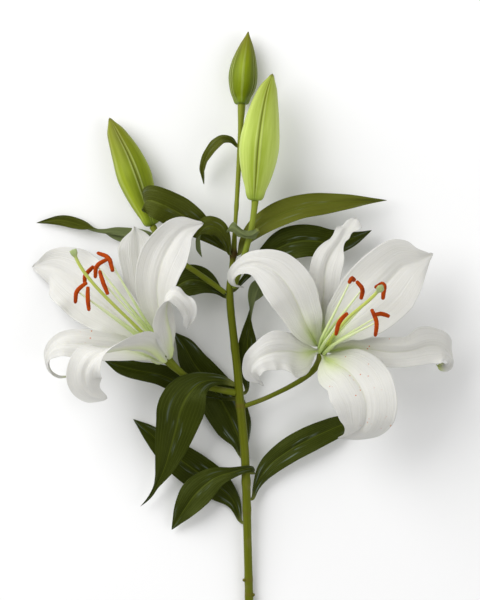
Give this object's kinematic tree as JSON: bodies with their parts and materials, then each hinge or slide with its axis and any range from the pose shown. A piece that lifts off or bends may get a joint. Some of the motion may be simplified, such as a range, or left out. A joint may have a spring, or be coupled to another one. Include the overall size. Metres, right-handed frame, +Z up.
{
  "type": "cut lily",
  "caption": "White oriental lily stem lying on its back, with open flowers, rust anthers, pale green buds and dark glossy leaves",
  "frame": {"origin": "on the table, under the middle of the plant's bounding box", "axes": "+Y from the cut end of the stem towards the buds, +X to the stem's right seen from above, +Z up from the table, the way the open flowers look"},
  "size_m": [0.3394, 0.4682, 0.1279],
  "materials": {
    "green_stem": "smooth fresh stem skin, satin, olive green with a lighter upper side",
    "bud_skin": "smooth waxy bud skin, satin, yellow green, ribbed",
    "leaf_green": "waxy leaf skin, semi-gloss, dark green with parallel veins and a paler underside",
    "white_petal": "soft satin white petal, slightly translucent, green-yellow at the midrib near the base",
    "pistil_green": "smooth moist style, satin, yellow green with a grey-green stigma",
    "filament_green": "smooth pale green stalk, satin",
    "anther_rust": "matte, powdery pollen, rust orange"
  },
  "bodies": {
    "root": {"stem": "green_stem", "left_flower_stalk": "green_stem", "right_flower_stalk": "green_stem", "right_bud_stalk": "green_stem", "left_bud_stalk": "green_stem", "top_bud": "bud_skin", "right_bud": "bud_skin", "left_bud": "bud_skin", "low_left_leaf": "leaf_green", "low_front_leaf": "leaf_green", "low_right_leaf": "leaf_green", "broad_middle_leaf": "leaf_green", "drooping_leaf": "leaf_green", "middle_left_leaf": "leaf_green", "middle_right_leaf": "leaf_green", "upper_left_leaf": "leaf_green", "leaf_behind_right_flower": "leaf_green", "upper_right_leaf": "leaf_green", "broad_upper_leaf": "leaf_green", "curled_leaf": "leaf_green", "far_left_leaf": "leaf_green", "bract_leaf": "leaf_green", "left_inner_petal_back": "white_petal", "left_inner_petal_right": "white_petal", "left_inner_petal_front": "white_petal", "left_outer_petal_low": "white_petal", "left_outer_petal_back": "white_petal", "left_outer_petal_right": "white_petal", "right_inner_petal_left": "white_petal", "right_outer_petal_up": "white_petal", "right_inner_petal_right": "white_petal", "right_outer_petal_right": "white_petal", "right_inner_petal_low": "white_petal", "right_outer_petal_left": "white_petal", "left_pistil": "pistil_green", "right_pistil": "pistil_green", "left_filament_1": "filament_green", "left_anther_1": "anther_rust", "left_filament_2": "filament_green", "left_anther_2": "anther_rust", "left_filament_3": "filament_green", "left_anther_3": "anther_rust", "left_filament_4": "filament_green", "left_anther_4": "anther_rust", "left_filament_5": "filament_green", "left_anther_5": "anther_rust", "left_filament_6": "filament_green", "left_anther_6": "anther_rust", "right_filament_1": "filament_green", "right_anther_1": "anther_rust", "right_filament_2": "filament_green", "right_anther_2": "anther_rust", "right_filament_3": "filament_green", "right_anther_3": "anther_rust", "right_filament_4": "filament_green", "right_anther_4": "anther_rust", "right_filament_5": "filament_green", "right_anther_5": "anther_rust", "right_filament_6": "filament_green", "right_anther_6": "anther_rust"}
  },
  "joints": []
}
